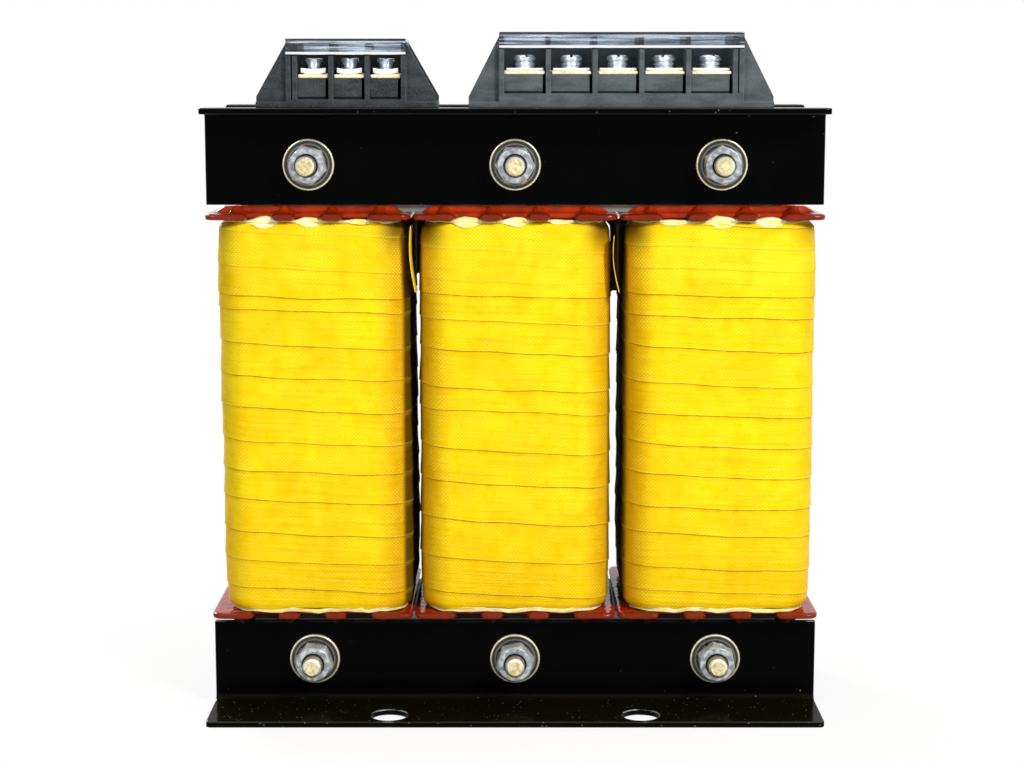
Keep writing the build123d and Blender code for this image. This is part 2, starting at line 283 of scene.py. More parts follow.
def studio_floor():
    bm = bmesh.new()
    bmesh.ops.create_grid(bm, x_segments=8, y_segments=8, size=floor_size * MM / 2)
    floor = placed("studio_floor", bm)
    look = Finish(
        "floor_paper", Roughness=0.9, Base_Color=(0.82, 0.82, 0.82), Specular_IOR_Level=0.0
    )
    x, y, z = look.split(look.place())
    share = look.ramp(look.length(x, y), paper_starts, paper_full, paper_near, 1.0)
    share = share * Signal(look, seen_rays(look.tree))
    white = look.node("Emission", None, {"Color": (1.0, 1.0, 1.0), "Strength": 1.0})
    lit = Signal(look, look.shader.outputs[0])
    both = look.node("MixShader", None, {0: share, 1: lit, 2: white})
    look.feed(look.tree.nodes["Material Output"].inputs["Surface"], both)
    floor.data.materials.append(look.material)


studio_floor()

# %% Lamps: a key on the right, a fill on the left, one above and one behind
lamp_aim = Vector((0.0, 0.0, 150.0)) * MM

# Name, place, width and height in millimetres, and power in watts.
lamps = (
    ("key_lamp", (900, -1250, 1150), 420, 420, 29.0),
    ("fill_lamp", (-850, -1300, 1000), 260, 420, 6.0),
    ("top_lamp", (0, 100, 1700), 1200, 700, 12.0),
    ("back_lamp", (-850, 1400, 800), 450, 450, 25.0),
)
for name, place, width, height, watts in lamps:
    light = bpy.data.lights.new(name, "AREA")
    light.shape = "RECTANGLE"
    light.size = width * MM
    light.size_y = height * MM
    light.energy = watts
    lamp = bpy.data.objects.new(name, light)
    lamp.location = Vector(place) * MM
    lamp.rotation_euler = (lamp_aim - lamp.location).to_track_quat("-Z", "Y").to_euler()
    bpy.context.scene.collection.objects.link(lamp)
print("lamps:", len(lamps))

# %% [markdown]
# ## Turning shapes into pieces
#
# Every new shape ends the same way: it becomes a named piece, and the CAD solid it
# stands for, if there is one, is hidden. On a copy of a CAD solid flat faces are shaded
# flat and curved ones smooth, which keeps a large flat sheet from looking swollen beside
# a rounded edge. A shape made here is smooth apart from its sharp edges, and only the
# bolts' threads stay faceted.

# %% Piece: from a bmesh to a named piece that rides on the frame
sharp_angle = math.radians(32)


def mark_edges(bm):
    for face in bm.faces:
        turns = [e.calc_face_angle(0.0) for e in face.edges if len(e.link_faces) == 2]
        face.smooth = any(0.01 < turn < sharp_angle for turn in turns)
    for edge in bm.edges:
        if len(edge.link_faces) == 2:
            edge.smooth = edge.calc_face_angle(0.0) < sharp_angle


def settle(bm, sharp=None):
    """Turns all faces outward and shades them smooth, apart from edges over an angle."""
    bmesh.ops.recalc_face_normals(bm, faces=bm.faces)
    for face in bm.faces:
        face.smooth = True
    for edge in bm.edges if sharp else ():
        if len(edge.link_faces) == 2:
            edge.smooth = edge.calc_face_angle(0.0) < math.radians(sharp)


def piece(name, bm, finish, slot, *nodes):
    obj = placed(name, bm)
    obj.data.materials.append(finish.material)
    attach(obj, "root")
    if nodes:
        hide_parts(*nodes)
    print(f"{name}: {len(obj.data.polygons)} faces")
    return obj


def thicken(sheet, thickness):
    """Gives an open sheet its thickness, half to each side."""
    wall = sheet.modifiers.new("thickness", "SOLIDIFY")
    wall.thickness = thickness * MM
    wall.offset = 0.0


# %% Softened copy: a CAD solid with its edges broken
weld_distance = 0.0005
flat_angle = math.radians(0.6)
bevel_angle = math.radians(38)


def copied(node):
    """The merged mesh of a CAD node, with flat areas joined into single faces."""
    bm = bmesh.new()
    bm.from_mesh(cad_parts[node].data)
    bmesh.ops.remove_doubles(bm, verts=bm.verts, dist=weld_distance * MM)
    bmesh.ops.dissolve_limit(bm, angle_limit=flat_angle, verts=bm.verts, edges=bm.edges)
    return bm


def bevel(bm, geom, offset, segments, affect):
    return bmesh.ops.bevel(
        bm,
        geom=geom,
        offset=offset,
        offset_type="OFFSET",
        segments=segments,
        profile=0.5,
        affect=affect,
        clamp_overlap=False,
        material=-1,
    )["faces"]


def break_edges(bm, radius, segments):
    """Rounds every edge that turns by more than the bevel angle."""
    mark_edges(bm)
    shared = [edge for edge in bm.edges if len(edge.link_faces) == 2]
    sharp = [edge for edge in shared if edge.calc_face_angle(0.0) > bevel_angle]
    rounded = bevel(bm, sharp, radius * MM, segments, "EDGES")
    for face in rounded:
        face.smooth = True
    return rounded


def softened(name, node, radius, finish, slot, segments=2, edge_finish=None):
    bm = copied(node)
    rounded = break_edges(bm, radius, segments)
    for face in rounded if edge_finish else ():
        face.material_index = 1
    made = piece(name, bm, finish, slot, node)
    if edge_finish:
        made.data.materials.append(edge_finish.material)


# %% Turned parts: a half section spun round an upright axis
def turned(bm, section, centre, steps):
    """Section is a chain of (radius, height) in millimetres."""
    up = Vector((0, 0, 1))
    across = up.orthogonal().normalized()
    centre = Vector(centre) * MM
    verts = [bm.verts.new(centre + (across * r + up * h) * MM) for r, h in section]
    chain = [bm.edges.new(pair) for pair in zip(verts, verts[1:])]
    before = set(bm.verts)
    bmesh.ops.spin(
        bm,
        geom=verts + chain,
        cent=centre,
        axis=up,
        dvec=(0, 0, 0),
        angle=math.tau,
        steps=steps,
        use_merge=True,
    )
    new = [v for v in bm.verts if v not in before] + verts
    bmesh.ops.remove_doubles(bm, verts=new, dist=0.002 * MM)
    return [v for v in new if v.is_valid]


# %% Cuts: a plane through a mesh
def with_links(verts):
    """Those of the points that still exist, with their edges and faces."""
    own = [v for v in verts if v.is_valid]
    linked = {e for v in own for e in v.link_edges} | {f for v in own for f in v.link_faces}
    return own + list(linked)


def bisect(bm, place, facing, geom=None, clear=True):
    """Takes off what lies beyond a plane, or only cuts, and gives the new points."""
    made = bmesh.ops.bisect_plane(
        bm,
        geom=geom or bm.verts[:] + bm.edges[:] + bm.faces[:],
        plane_co=place,
        plane_no=facing,
        clear_outer=clear,
    )
    return [v for v in made["geom_cut"] if isinstance(v, bmesh.types.BMVert)]


def cut_flat(node, place, facing):
    """A copy of a CAD node without what lies beyond a plane, closed again there."""
    bm = copied(node)
    bisect(bm, place, facing)
    bmesh.ops.contextual_create(bm, geom=[e for e in bm.edges if e.is_boundary])
    return bm


print("shape tools ready")

# %% [markdown]
# ## Black gloss paint on the clamps
#
# The clamps are folded sheet, sprayed gloss black. Seen straight on such paint is
# almost pure black, and it turns bright only where it is seen at a slant, along edges
# and on the flanges. So the colour is close to black, the shine facing the viewer is
# kept low, and the surface has the soft waviness of sprayed paint. Pale dust sits on
# it, thickest on the flanges, where it can settle, and the feet carry a painted brown
# reflection. The rounded edges have a paint of their own, which shines more and has a
# painted highlight round the foot holes.

# %% Paint for the clamps
foot_hole = (61.5, 65.5)


def gloss_black_paint(name, shine, wear_and_glint=None):
    look = Finish(name, Specular_IOR_Level=shine)
    here = look.place()
    x, y, z = look.split(here)
    ledge = look.ramp(abs(y), 38.5, 41.0)
    fold = look.ramp(abs(z - 4.5), 4.5, 1.5) * 0.4
    fine = look.specks(here, 2.4, 0.24, 0.03 + 0.42 * ledge + fold)
    coarse = look.specks(look.moved(here, 37.0), 9.0, 0.42, 0.05 + 0.12 * ledge)
    dust = look.math("MAXIMUM", fine, coarse)
    film = look.cloud(here, 22.0, 4.0)
    deep = look.blend(film, (0.0004, 0.0004, 0.0005), (0.0013, 0.0013, 0.0014))
    # Painted reflection: the feet of the lower clamps are tinted brown.
    deep = look.blend(ledge * look.ramp(z, 60.0, 40.0), deep, (0.0022, 0.0021, 0.0005))
    root = look.ramp(abs(z - 4.0), 2.0, 0.5, 0.0, 0.3)
    deep = look.blend(root, deep, (0.013, 0.011, 0.004))
    on_foot = look.ramp(z, 6.0, 4.0) * look.ramp(abs(y), 46.0, 50.0)
    # Painted highlight: a paler ring round each foot hole, on the rounded edges.
    if wear_and_glint:
        from_hole = look.length(abs(x) - foot_hole[0], abs(y) - foot_hole[1])
        painted_hole_highlight = look.ramp(from_hole, 12.0, 11.0)
        painted_hole_highlight = painted_hole_highlight * look.ramp(look.cloud(here, 9.0, 2.0), 0.45, 0.6, 0.0, 0.7)
        deep = look.blend(painted_hole_highlight * on_foot, deep, wear_and_glint)
    look.paint(
        Base_Color=look.blend(dust * 0.6, deep, (0.30, 0.30, 0.28)),
        Roughness=look.ramp(film, 0.3, 0.75, 0.13, 0.26) + 0.4 * dust,
    )
    look.emboss(look.cloud(here, 1.9) * 0.5 + dust, 0.02)
    return look


black_paint = gloss_black_paint("gloss_black_paint", 0.025)
edge_paint = gloss_black_paint("black_paint_on_edges", 0.3, wear_and_glint=(0.34, 0.37, 0.42))

# %% [markdown]
# ## Red-brown resin of the bobbin frames
#
# The end frames are moulded from a filled resin and varnished with the coil, so they
# are glossy like wet clay. The varnish makes runs and pools, so the colour and the
# shine are never even. The tips of the tabs are darkened with painted shade, and the
# undersides of the lower frames are painted black as shadow.

# %% Resin for the end frames
def varnished_resin():
    look = Finish("varnished_resin", Specular_IOR_Level=0.17)
    here = look.place()
    x, y, z = look.split(here)
    pools = look.cloud(here, 9.0, 3.0)
    grain = look.cloud(here, 0.9, 2.0)
    body = look.tint((0.42, 0.029, 0.001), (0.24, 0.014, 0.001), pools, 0.3, 0.7)
    body = look.tint(body, (0.55, 0.09, 0.02), grain, 0.55, 0.8, 0.25)
    # Painted shade on the tips of the tabs.
    painted_tab_shade = look.ramp(abs(y), 46.5, 49.0, 0.0, 0.75)
    body = look.blend(painted_tab_shade, body, (0.15, 0.011, 0.001))
    # Painted shadow: the undersides of the lower frames turn near black.
    painted_shadow_below = look.ramp(z, 47.6, 47.0, 0.0, 0.97)
    look.paint(
        Base_Color=look.blend(painted_shadow_below, body, (0.006, 0.004, 0.004)),
        Roughness=look.ramp(pools, 0.25, 0.8, 0.04, 0.12) + 0.5 * painted_shadow_below,
    )
    look.emboss(look.cloud(here, 3.6, 2.0), 0.3)
    return look


red_resin = varnished_resin()

# %% [markdown]
# ## Yellow tape
#
# Each coil is wrapped in varnished woven tape. The weave is a fine diagonal lattice of
# raised threads about 1.9 mm apart, and each crossing gets a painted glint, with a
# painted sheen near the top of the coils. Where a turn ends, its lower edge stands a
# little proud, catches light and shades the turn below it, and the colour adds a painted
# highlight along it and a painted shadow under it. Painted shade also darkens the tape
# towards the corners, on the sides that face a gap, under the tabs and towards the
# bottom. The pattern has to follow the tape and not the room, so the coil meshes carry
# two maps: how far a point lies along the tape and from its upper edge, and how far it
# is from its lower edge. The recipe reads both in millimetres. Loose tape, paper and
# board follow: each is a body colour streaked with fibres or stains. Last comes a dark
# sheet that stands in for the shade in the gaps.

# %% Tape for the coils
def varnished_tape():
    look = Finish("varnished_tape", Specular_IOR_Level=0.05)
    weave = look.node("UVMap", {"uv_map": "along_tape"})
    edges = look.node("UVMap", {"uv_map": "from_edges"})
    along, down = look.split(weave)[:2]
    along, down = along * 1000.0, down * 1000.0
    below, stand = look.split(edges)[:2]
    below = below * 1000.0
    shift = stand * 211.0
    here = look.place()
    warp = look.cloud(look.moved(here, 15.0), 9.0, 2.0) * 3.0
    ridge = look.ramp(stand, 0.15, 0.5, 0.2, 1.0)
    lattice = math.tau / 1.9
    first = look.math("SINE", (along + down + shift + warp) * lattice)
    second = look.math("SINE", (along - down + shift) * lattice)
    threads = (first + second) * 0.25 + 0.5
    knots = look.ramp(threads, 0.62, 0.95)
    strands = look.cloud(look.join(along * 0.12, down * 2.6, shift), 1.0, 3.0)
    stain = look.cloud(here, 26.0, 4.0)
    wear_and_glint = look.cloud(look.moved(here, 80.0), 7.0, 3.0)
    x, y, z = look.split(here)
    beside = abs(look.from_coil(x))
    in_gap = look.ramp(abs(x), 110.0, 80.0)
    # Painted shade towards the coils' rounded corners, strongest on the sides that face a gap.
    corner_shade = look.ramp(beside, 30.0, 45.0, 0.0, 0.75) * (0.35 + 0.65 * in_gap)
    # Painted shade, near black on the sides that face a gap, and painted shadow under the tabs at
    # the top.
    edge = look.ramp(beside, 44.2, 46.8, 0.0, 0.94) * in_gap
    painted_side_shade = look.ramp(beside, 30.0, 43.0, 0.0, 0.85) * (0.5 + 0.5 * in_gap)
    shadow_under_tabs = look.ramp(z, 224.0, 241.0) * painted_side_shade
    wrinkles_and_shade = look.cloud(look.join(along * 0.02, down * 0.55, shift), 1.0, 3.0)
    uneven = look.ramp(wear_and_glint, 0.3, 0.7, 0.5, 1.0)
    # Painted shadow line and band under each proud lap edge, and a painted highlight on the rim
    # above it.
    shade_line = look.ramp(down, 0.1, 0.8, 1.0, 0.0) * ridge * uneven
    shade_band = look.ramp(down, 0.2, 2.6, 1.0, 0.0) * ridge * uneven
    painted_rim_highlight = look.ramp(below, 0.2, 1.3, 1.0, 0.0) * ridge * uneven
    body = look.tint((0.90, 0.60, 0.001), (0.93, 0.70, 0.002), stain, 0.32, 0.68)
    body = look.tint(body, (0.80, 0.42, 0.001), wear_and_glint, 0.5, 0.8, 0.3)
    body = look.tint(body, (0.78, 0.42, 0.001), strands, 0.5, 0.85, 0.25)
    # Painted shade: darker and more orange towards the bottom.
    body = look.tint(body, (0.84, 0.48, 0.001), z, 130.0, 60.0, 0.4)
    # Painted shade in the wrinkles, which are also bumped below.
    body = look.tint(body, (0.72, 0.40, 0.001), wrinkles_and_shade, 0.5, 0.8, 0.45)
    # Painted shade at the corners.
    body = look.blend(corner_shade, body, (0.58, 0.27, 0.001))
    # Painted glints on the weave's crossings, with a painted sheen near the top.
    painted_top_sheen = look.ramp(z, 196.0, 222.0) * look.ramp(stain, 0.40, 0.60)
    glints = knots * (look.ramp(wear_and_glint, 0.42, 0.60, 0.40, 0.06) + 0.35 * painted_top_sheen)
    body = look.blend(glints, body, (1.0, 0.88, 0.14))
    # Painted shade on the gap sides and painted shadow under the tabs.
    body = look.blend(look.math("MAXIMUM", edge, shadow_under_tabs), body, (0.07, 0.035, 0.001))
    body = look.blend(painted_rim_highlight * 0.22, body, (1.0, 0.86, 0.10))
    body = look.blend(shade_band * 0.4, body, (0.60, 0.32, 0.001))
    body = look.blend(shade_line * 0.7, body, (0.30, 0.13, 0.001))
    look.paint(
        Base_Color=body,
        Roughness=look.ramp(wear_and_glint, 0.3, 0.7, 0.34, 0.52) - 0.1 * knots + 0.5 * edge,
    )
    relief = threads * 0.7 + strands * 0.6 + wrinkles_and_shade * 5.0 + 1.4 * look.cloud(here, 5.0, 3.0)
    look.emboss(relief, 0.12)
    return look


yellow_tape = varnished_tape()


# %% Loose tape ends, paper and board
def loose_tape():
    look = Finish("loose_tape", Specular_IOR_Level=0.4)
    here = look.place()
    fibres = look.cloud(look.stretch(here, (3.0, 3.0, 0.25)), 1.0, 3.0)
    body = look.tint((0.96, 0.68, 0.02), (0.74, 0.40, 0.01), fibres, 0.35, 0.7)
    look.paint(Base_Color=body, Roughness=look.ramp(fibres, 0.2, 0.8, 0.35, 0.6))
    look.emboss(fibres, 0.12)
    return look


def cream_paper():
    look = Finish("cream_paper", Specular_IOR_Level=0.2)
    here = look.place()
    soft = look.cloud(here, 6.0, 3.0)
    fibres = look.cloud(look.stretch(here, (1.0, 1.0, 0.4)), 0.6, 3.0)
    body = look.tint((0.95, 0.88, 0.56), (0.92, 0.74, 0.20), soft, 0.3, 0.7)
    body = look.tint(body, (0.98, 0.95, 0.80), fibres, 0.55, 0.8, 0.4)
    look.paint(Base_Color=body, Roughness=look.ramp(soft, 0.2, 0.8, 0.28, 0.5))
    look.emboss(soft + 0.3 * fibres, 0.4)
    return look


def pressed_board():
    look = Finish("pressed_board", Specular_IOR_Level=0.3)
    here = look.place()
    fibres = look.cloud(look.stretch(here, (1.0, 1.0, 0.2)), 0.8, 4.0)
    stain = look.cloud(here, 30.0, 3.0)
    body = look.blend(fibres, (0.20, 0.11, 0.045), (0.34, 0.21, 0.10))
    look.paint(
        Base_Color=look.tint(body, (0.12, 0.06, 0.02), stain, 0.4, 0.7, 0.5),
        Roughness=look.ramp(fibres, 0.2, 0.8, 0.5, 0.8),
    )
    look.emboss(fibres, 0.1)
    return look


# A near-black streaked sheet that stands in for the shade in the gaps between the coils.
def near_black_shade():
    look = Finish("near_black_shade", Specular_IOR_Level=0.2)
    here = look.place()
    dark_streaks = look.cloud(look.stretch(here, (1.0, 1.0, 0.3)), 2.5, 3.0)
    body = look.blend(dark_streaks, (0.006, 0.004, 0.003), (0.030, 0.014, 0.006))
    look.paint(Base_Color=body, Roughness=look.ramp(dark_streaks, 0.3, 0.7, 0.25, 0.5))
    look.emboss(dark_streaks, 0.3)
    return look


gap_shade_finish = near_black_shade()
tape_ends = loose_tape()
paper = cream_paper()
board = pressed_board()

# %% [markdown]
# ## Metals
#
# The core is a stack of thin steel sheets, so its edges show fine lines along the
# stack, under a thin coat of grey varnish. The nuts and terminal screws are bright
# zinc, bluish and lightly scratched. On the nuts the flanks carry a painted highlight
# with a painted yellow reflection low down, and painted shade lies along the chamfer
# and round the bolt. The bolts are yellow zinc, with a painted shadow where they leave
# the nut. The big washers have a painted dark reflection on the face and a painted
# highlight on the rim. A washer's rim, a nut's face and flanks and a bolt's end are told
# apart by the distance to the nearest bolt, because the bolts stand in two rows at one
# pitch.

# %% Sheet steel for the core
def laminated_steel():
    look = Finish("laminated_steel", Specular_IOR_Level=0.5)
    here = look.place()
    x, y, z = look.split(here)
    jitter = look.cloud(here, 14.0, 2.0) * 0.5
    sheets = look.math("PINGPONG", y + jitter, 0.5) * 2.0
    seams = look.ramp(sheets, 0.0, 0.5, 1.0, 0.0)
    tone = look.cloud(look.join(y * 1.3, x * 0.01, z * 0.01), 1.0, 2.0)
    wash = look.cloud(here, 18.0, 4.0)
    rust = look.ramp(look.cloud(look.moved(here, 51.0), 11.0, 5.0), 0.62, 0.78, 0.0, 0.6)
    body = look.blend(tone, (0.17, 0.17, 0.16), (0.32, 0.32, 0.30))
    body = look.tint(body, (0.26, 0.26, 0.25), wash, 0.4, 0.7, 0.4)
    body = look.blend(seams * 0.55, body, (0.10, 0.10, 0.10))
    look.paint(
        Base_Color=look.blend(rust, body, (0.24, 0.10, 0.045)),
        Metallic=0.35 - 0.3 * rust,
        Roughness=look.ramp(wash, 0.3, 0.7, 0.34, 0.52) + 0.3 * rust,
    )
    look.emboss(sheets, 0.06)
    return look


core_steel = laminated_steel()


# %% Zinc plate: bright, yellow, and the dark-faced washers
def zinc_plate(name, pale, dull, rough, gleam):
    look = Finish(name)
    here = look.place()
    blotch = look.cloud(here, 3.0, 4.0)
    scratch = look.cloud(look.stretch(here, (0.4, 3.0, 3.0)), 0.7, 2.0)
    scuffs = look.ramp(scratch, 0.55, 0.75, 0.0, 0.5)
    look.paint(
        Base_Color=look.blend(look.ramp(blotch, 0.35, 0.7), pale, dull),
        Metallic=look.ramp(blotch, 0.45, 0.8, gleam, gleam * 0.7),
        Roughness=look.ramp(blotch, 0.2, 0.8, rough, rough + 0.18) + 0.1 * scuffs,
    )
    look.emboss(scratch + 0.6 * blotch, 0.03)
    return look


def washer_plate():
    look = Finish("washer_plate", Specular_IOR_Level=0.15)
    here = look.place()
    x, y, z = look.split(here)
    out = look.from_bolt(x, z)
    # Painted highlight on the washer's rim.
    rim = look.ramp(out, 11.4, 12.0)
    rings = look.math("SINE", out * 14.0) * 0.5 + 0.5
    blotch = look.cloud(here, 3.5, 4.0)
    # Painted dark reflection: the face is given a near-black colour.
    face = look.blend(blotch, (0.008, 0.010, 0.012), (0.05, 0.057, 0.06))
    face = look.blend(rings * 0.2, face, (0.16, 0.17, 0.17))
    face = look.tint(face, (0.36, 0.36, 0.30), abs(out - 9.9), 0.6, 0.1, 0.5)
    look.paint(
        Base_Color=look.blend(rim, face, (0.82, 0.76, 0.50)),
        Metallic=look.ramp(blotch, 0.3, 0.9, 0.6, 0.4),
        Roughness=look.ramp(blotch, 0.3, 0.8, 0.24, 0.40),
    )
    look.emboss(rings * 0.4 + blotch, 0.03)
    return look


def nut_zinc():
    look = Finish("nut_zinc")
    here = look.place()
    x, y, z = look.split(here)
    out = look.from_bolt(x, z)
    blotch = look.cloud(here, 2.4, 4.0)
    face = look.tint((0.62, 0.66, 0.70), (0.24, 0.27, 0.30), blotch, 0.35, 0.65)
    broad = look.cloud(here, 7.0, 2.0)
    # Painted highlight on the nut's flanks.
    flank_highlight = look.tint((0.95, 0.94, 0.88), (0.60, 0.60, 0.56), broad, 0.35, 0.65)
    lower, upper = bolt_rows
    height = z - lower - (upper - lower) * look.math("GREATER_THAN", z, (lower + upper) / 2)
    # Painted reflection: the flanks turn yellow towards their lower side.
    flank_highlight = look.tint(flank_highlight, (0.66, 0.44, 0.10), height, -4.0, -8.0, 0.6)
    body = look.blend(look.ramp(out, 8.2, 8.4), face, flank_highlight)
    # Painted shade: a dark line along the chamfer circle.
    chamfer_shade = look.ramp(abs(out - 8.3), 0.25, 0.1, 0.0, 0.35)
    body = look.blend(chamfer_shade, body, (0.025, 0.028, 0.032))
    # Painted shadow round the bolt, inside the nut.
    body = look.tint(body, (0.012, 0.011, 0.010), out, 6.1, 5.5)
    look.paint(
        Base_Color=body,
        Metallic=look.ramp(out, 5.4, 6.2, 0.0, 0.42),
        Roughness=look.ramp(blotch, 0.3, 0.7, 0.16, 0.3),
    )
    look.emboss(blotch, 0.04)
    return look


def bolt_zinc():
    look = Finish("bolt_zinc")
    here = look.place()
    x, y, z = look.split(here)
    out = look.from_bolt(x, z)
    blotch = look.cloud(here, 1.5, 4.0)
    front = look.ramp(y, -20.0, -30.0)
    face = look.tint((0.88, 0.82, 0.54), (0.56, 0.47, 0.18), blotch, 0.35, 0.65)
    body = look.blend(look.ramp(out, 3.3, 3.7) * front, face, (0.90, 0.88, 0.76))
    body = look.blend(look.ramp(out, 4.2, 4.7) * front, body, (0.20, 0.17, 0.09))
    # Painted shadow where the bolt leaves the nut.
    deep = look.ramp(y, -53.5, -51.5) * front
    look.paint(
        Base_Color=look.blend(deep * 0.85, body, (0.03, 0.026, 0.018)),
        Metallic=look.ramp(blotch, 0.3, 0.8, 0.6, 0.4),
        Roughness=look.ramp(blotch, 0.2, 0.8, 0.2, 0.4),
    )
    look.emboss(blotch, 0.05)
    return look


bright_zinc = zinc_plate("bright_zinc", (0.62, 0.66, 0.70), (0.34, 0.36, 0.37), 0.22, 0.45)
dull_zinc = zinc_plate("dull_zinc", (0.13, 0.135, 0.13), (0.02, 0.023, 0.026), 0.2, 0.5)
nut_plate = nut_zinc()
yellow_zinc = bolt_zinc()
pale_zinc = zinc_plate("pale_zinc", (0.97, 0.98, 0.98), (0.86, 0.90, 0.90), 0.14, 0.75)
screw_zinc = zinc_plate("screw_zinc", (0.84, 0.90, 0.95), (0.46, 0.54, 0.60), 0.12, 0.7)
plate_brass = zinc_plate("plate_brass", (0.97, 0.92, 0.72), (0.80, 0.66, 0.30), 0.22, 0.6)
dark_washers = washer_plate()


# %% [markdown]
# ## Moulded plastic and the clear covers
#
# The blocks are moulded in a charcoal plastic, chalky where the mould has rubbed. The
# covers are clear sheet: what lies behind shows through cloudy streaks, the lower edge
# has a painted highlight, and the upper edge has painted shade on its front and a
# painted highlight on its top.

# %% Mouldings and clear sheet
def charcoal_moulding(name, dark, light):
    look = Finish(name, Specular_IOR_Level=0.18)
    here = look.place()
    grain = look.cloud(here, 0.55, 3.0)
    flow = look.cloud(look.stretch(here, (0.5, 0.5, 1.6)), 6.0, 4.0)
    chalk = look.specks(here, 1.3, 0.16, 0.35)
    body = look.blend(look.ramp(flow, 0.3, 0.7), dark, light)
    body = look.tint(body, (0.16, 0.175, 0.18), grain, 0.55, 0.72, 0.45)
    look.paint(
        Base_Color=look.blend(chalk * 0.5, body, (0.30, 0.31, 0.32)),
        Roughness=look.ramp(flow, 0.3, 0.7, 0.38, 0.55),
    )
    look.emboss(grain, 0.08)
    return look


def clear_sheet(name, low, high):
    look = Finish(name, Transmission_Weight=1.0, IOR=1.47)
    here = look.place()
    x, y, z = look.split(here)
    haze = look.cloud(look.stretch(here, (0.05, 1.0, 1.4)), 1.6, 3.0)
    streak = look.ramp(haze, 0.57, 0.64, 0.0, 0.6)
    bottom, top = low.z / MM, high.z / MM
    beyond = abs(y - (low.y + high.y) / 2 / MM) - (high.y - low.y) / 2 / MM
    # Painted highlight along the lower edge, painted shade on the front of the upper edge, and a
    # painted highlight on its top.
    lower_edge_highlight = look.ramp(z, bottom + 1.5, bottom + 1.0)
    upper_edge_shade = look.ramp(z, top - 1.3, top - 0.7)
    top_edge_highlight = upper_edge_shade * look.ramp(beyond, -1.6, -2.6)
    upper_edge_shade = upper_edge_shade * look.ramp(beyond, -2.6, -1.6)
    body = look.tint((0.12, 0.14, 0.17), (0.80, 0.88, 0.98), haze, 0.35, 0.6)
    body = look.blend(streak, body, (0.72, 0.80, 0.90))
    body = look.blend(upper_edge_shade, body, (0.010, 0.013, 0.022))
    body = look.blend(top_edge_highlight, body, (0.72, 0.78, 0.84))
    look.paint(
        Base_Color=look.blend(lower_edge_highlight, body, (0.96, 0.97, 1.0)),
        Metallic=look.math("MAXIMUM", streak * (1.0 - upper_edge_shade - top_edge_highlight), lower_edge_highlight),
        Roughness=look.ramp(haze, 0.45, 0.8, 0.03, 0.16),
    )
    look.emboss(haze, 0.05)
    return look


mouldings = {
    "three_way": charcoal_moulding("dark_moulding", (0.018, 0.022, 0.024), (0.038, 0.045, 0.049)),
    "five_way": charcoal_moulding("grey_moulding", (0.050, 0.058, 0.061), (0.090, 0.105, 0.108)),
}
cover_sheets = {
    block: clear_sheet(f"clear_sheet_{block}", *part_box(f"{block}_cover")) for block in mouldings
}
print("materials:", len(bpy.data.materials))

# %% [markdown]
# ## The taped coils
#
# A taper winds the tape upwards, each turn over the last, so every lower edge lies on
# top and the whole coil is one long screw line. A stack of rings would look machined.
# Here a flat open sheet of rings is slid down turn by turn as it goes round, until its
# two ends meet one turn apart, and they are merged. Each turn then has its own height,
# its own thickness and a real ledge under its lower edge.

# %% Where the turns lie, and how far each one stands out
coil_width = 93.0
coil_depth = 101.0
coil_corner = 16.0
end_roll = 5.0
front_crown = 3.2
side_crown = 0.6
corner_steps = 9
side_cuts = 19
belly_height = 30.0
phases = {"left": -coil_pitch, "centre": 0.0, "right": coil_pitch}

# Heights of the tape's lower edges at the middle of each coil's front, top first.
turn_heights = {
    "left": (237, 220, 206.4, 200.6, 183.1, 167.4, 151.7, 135.4, 121, 106.6, 90.1, 76, 61.9, 47),
    "centre": (229, 213.7, 207.4, 194.8, 180.1, 161.5, 151.2, 131.4, 115.1, 96.1, 77, 58.9, 45),
    "right": (230.6, 220, 207.4, 197.2, 181.6, 164, 148.7, 133.9, 119, 103.1, 90.1, 72.5, 60.9, 46),
}
faint_turns = {"left": {0: 0.1, 1: 0.7}, "centre": {0: 0.1, 1: 0.2}, "right": {0: 0.1, 1: 0.6}}
faint_line = 0.1
row_shares = (0.0, 0.05, 0.13, 0.28, 0.44, 0.60, 0.76, 0.89, 0.96, 0.99)
print("turns on the left coil:", len(turn_heights["left"]))


def level_at(heights, turn):
    """Height of the tape's edge after so many turns, steady beyond both ends."""
    place = turn - 2.5
    first = min(max(math.floor(place), 0), len(heights) - 2)
    share = place - first
    return heights[first] + (heights[first + 1] - heights[first]) * share


def lean(side, z):
    """How far a coil is wound off its middle: the left one leans to the right."""
    return 3.0 - 0.008 * (z - 60.0) if side == "left" else 0.0


# %% The ring of points round a coil, and how the winding swells
def outward(x, y):
    """The direction that faces away from a rounded rectangle, from its middle."""
    over_x = max(abs(x) - (coil_width / 2 - coil_corner), 0.0)
    over_y = max(abs(y) - (coil_depth / 2 - coil_corner), 0.0)
    if min(over_x, over_y) <= 0.0:
        over_x, over_y = (1.0, 0.0) if over_x > over_y else (0.0, 1.0)
    return Vector((math.copysign(over_x, x), math.copysign(over_y, y), 0.0)).normalized()


def swelling(x, y, z, bottom, top):
    """How far the wound surface stands off the plain rounded box at a point."""
    facing = outward(x, y)
    near = min(z - bottom, top - z)
    belly = min(max(near / belly_height, 0.0), 1.0)
    belly = belly * belly * (3 - 2 * belly)
    crown = front_crown * (1 - (2 * x / coil_width) ** 2) * facing.y**2
    crown += side_crown * (1 - (2 * y / coil_depth) ** 2) * facing.x**2
    slack = 0.5 * noise.noise(Vector((x, y, z)) / 31.0)
    roll = end_roll - math.sqrt(max(end_roll**2 - max(end_roll - near, 0.0) ** 2, 0.0))
    return crown * belly + slack - roll - 0.5 * (1 - belly)


